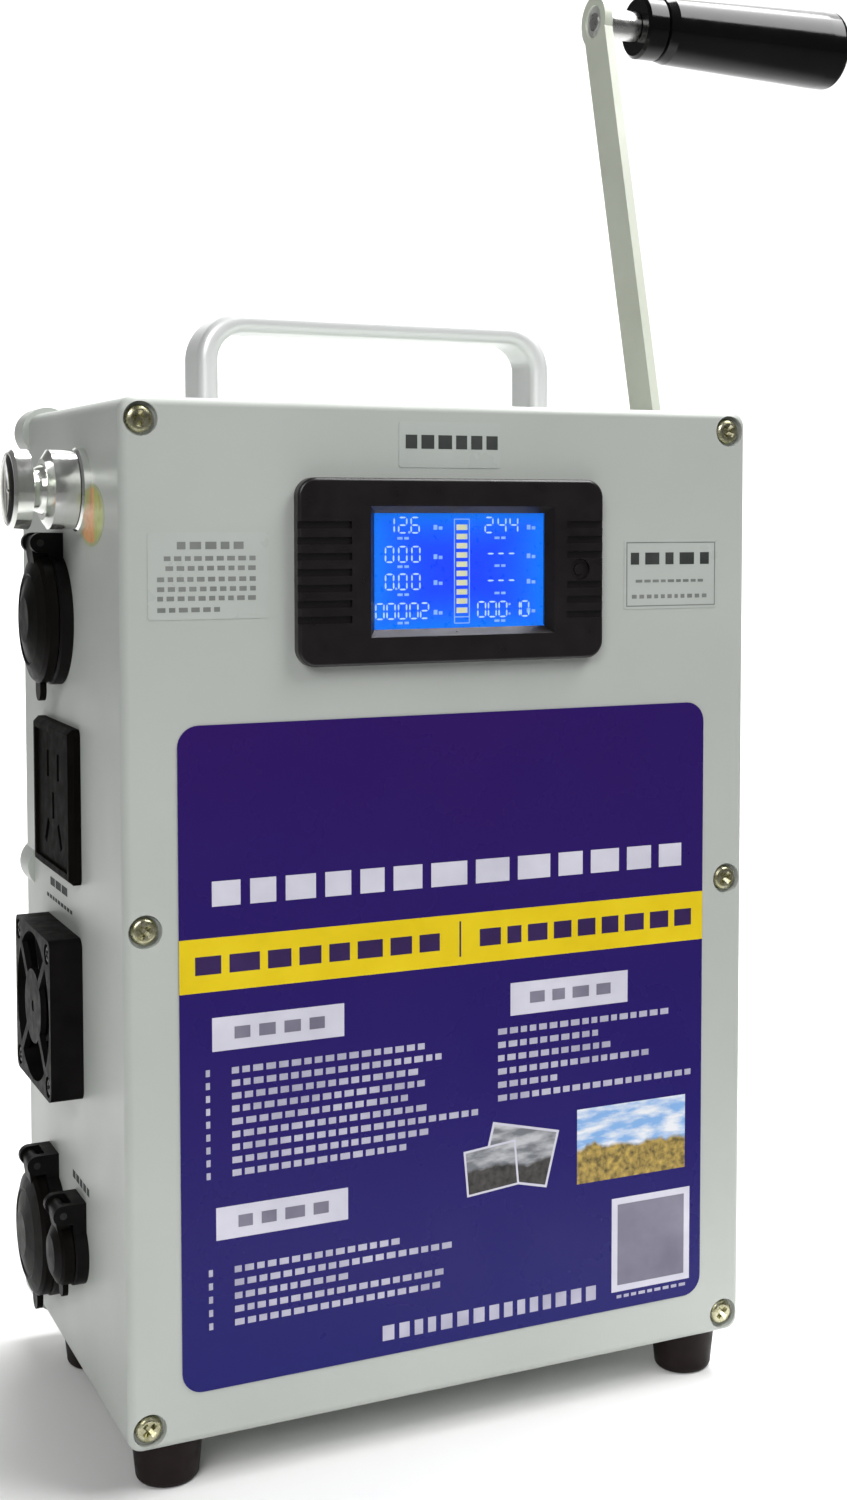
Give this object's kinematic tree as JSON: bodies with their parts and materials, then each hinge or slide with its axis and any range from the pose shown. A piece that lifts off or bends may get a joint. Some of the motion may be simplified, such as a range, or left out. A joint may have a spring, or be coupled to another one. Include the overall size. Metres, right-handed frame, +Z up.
{
  "type": "hand crank generator",
  "caption": "Hand crank generator in an upright moulded case with a carry handle, swivel lamp, capped round outlets, mains outlet, fan, panel meter and a long crank with a free grip.",
  "frame": {"origin": "on the floor under the middle of the whole object's bounding box, with the crank up and leaning back as it stands at rest", "axes": "+Z up, +X to the right as seen from the front, which is the side of the crank, +Y from the meter on the front towards the back"},
  "size_m": [0.3082, 0.1264, 0.4341],
  "materials": {
    "case_plastic": "satin, fine grain",
    "seal_rubber": "matte",
    "screw_steel": "passivated, slightly yellow",
    "brass": "turned",
    "foot_rubber": "matte",
    "handle_metal": "satin, drawn bar",
    "meter_plastic": "semi gloss",
    "clear_plastic": "clear, gloss",
    "display": "lit",
    "board": "satin",
    "chrome": "polished",
    "led": "satin",
    "socket_plastic": "satin",
    "cap_rubber": "satin",
    "mains_plastic": "semi gloss",
    "fan_plastic": "satin",
    "steel": "machined",
    "bearing_steel": "turned",
    "arm_paint": "satin",
    "grip_plastic": "gloss",
    "plate_steel": "zinc plated",
    "aluminium": "bare",
    "copper": "lacquered wire",
    "cell_wrap": "shrink wrap"
  },
  "bodies": {
    "case": {"case_base": "case_plastic", "case_lid": "case_plastic", "lid_gasket": "seal_rubber", "lid_screws": "screw_steel", "screw_inserts": "brass", "rubber_feet": "foot_rubber", "foot_screws": "screw_steel", "carry_handle": "handle_metal", "handle_screws": "screw_steel", "meter_bezel": "meter_plastic", "meter_window": "clear_plastic", "meter_lcd": "display", "meter_board": "board", "lamp_base": "chrome", "lamp_nut": "steel", "upper_socket_body": "socket_plastic", "lower_socket_body": "socket_plastic", "upper_socket_sleeve": "steel", "lower_socket_sleeve": "steel", "socket_nuts": "socket_plastic", "socket_contacts": "brass", "cap_hinge_pins": "steel", "charge_socket": "socket_plastic", "charge_contact": "brass", "charge_nut": "steel", "mains_socket": "mains_plastic", "mains_contacts": "brass", "fan_frame": "fan_plastic", "fan_screws": "screw_steel", "crank_bearing": "bearing_steel", "bearing_screws": "screw_steel", "gearbox_frame": "plate_steel", "idler_shaft": "steel", "generator_housing": "aluminium", "generator_coils": "copper", "battery_cells": "cell_wrap", "battery_tray": "socket_plastic", "inverter_board": "board", "heat_sink": "aluminium", "charge_board": "board"},
    "crank": {"crank_shaft": "steel", "crank_arm": "arm_paint", "crank_bolt": "steel", "drive_gear": "brass", "grip_spindle": "steel", "grip_nut": "steel"},
    "grip": {"crank_grip": "grip_plastic"},
    "idler": {"idler_gear": "steel"},
    "rotor": {"generator_rotor": "steel", "generator_pinion": "steel"},
    "fan": {"fan_rotor": "fan_plastic"},
    "lamp_ring": {"lamp_collar": "chrome"},
    "lamp": {"lamp_head": "chrome", "lamp_led": "led", "lamp_lens": "clear_plastic"},
    "upper_cap": {"upper_socket_cap": "cap_rubber"},
    "lower_cap": {"lower_socket_cap": "cap_rubber"},
    "small_cap": {"charge_cap": "cap_rubber"},
    "button": {"meter_button": "meter_plastic"}
  },
  "joints": [
    {"name": "crank_spin", "type": "hinge", "parent": "case", "child": "crank", "pos_m": [0.0509, 0.00026, 0.232], "axis": [1, 0, 0], "continuous": true},
    {"name": "grip_spin", "type": "hinge", "parent": "crank", "child": "grip", "pos_m": [0.1109, 0.04974, 0.42062], "axis": [1, 0, 0], "continuous": true},
    {"name": "idler_spin", "type": "hinge", "parent": "case", "child": "idler", "pos_m": [0.0339, 0.00026, 0.1945], "axis": [1, 0, 0], "continuous": true},
    {"name": "rotor_spin", "type": "hinge", "parent": "case", "child": "rotor", "pos_m": [-0.0011, 0.00026, 0.162], "axis": [1, 0, 0], "continuous": true},
    {"name": "fan_spin", "type": "hinge", "parent": "case", "child": "fan", "pos_m": [-0.1371, 0.00806, 0.1157], "axis": [1, 0, 0], "continuous": true},
    {"name": "lamp_turn", "type": "hinge", "parent": "case", "child": "lamp_ring", "pos_m": [-0.1421, -0.02034, 0.2613], "axis": [1, 0, 0], "range_deg": [-170, 170]},
    {"name": "lamp_tilt", "type": "hinge", "parent": "lamp_ring", "child": "lamp", "pos_m": [-0.1421, -0.02034, 0.2613], "axis": [0, 0, 1], "range_deg": [-15, 15]},
    {"name": "upper_cap_hinge", "type": "hinge", "parent": "case", "child": "upper_cap", "pos_m": [-0.1394, 0.00946, 0.2467], "axis": [0, 1, 0], "range_deg": [0, 95]},
    {"name": "lower_cap_hinge", "type": "hinge", "parent": "case", "child": "lower_cap", "pos_m": [-0.1394, 0.02426, 0.0661], "axis": [0, 1, 0], "range_deg": [0, 110]},
    {"name": "charge_cap_hinge", "type": "hinge", "parent": "case", "child": "small_cap", "pos_m": [-0.1394, -0.00924, 0.0622], "axis": [0, 1, 0], "range_deg": [0, 150]},
    {"name": "meter_button_press", "type": "slide", "parent": "case", "child": "button", "axis": [0, 1, 0], "range_m": [0, 0.0006], "stiffness_N_per_m": 800, "springref_m": -0.0002}
  ],
  "couplings": [
    {"joint": "idler_spin", "follows": "crank_spin", "ratio": -4},
    {"joint": "rotor_spin", "follows": "crank_spin", "ratio": 13.333}
  ]
}
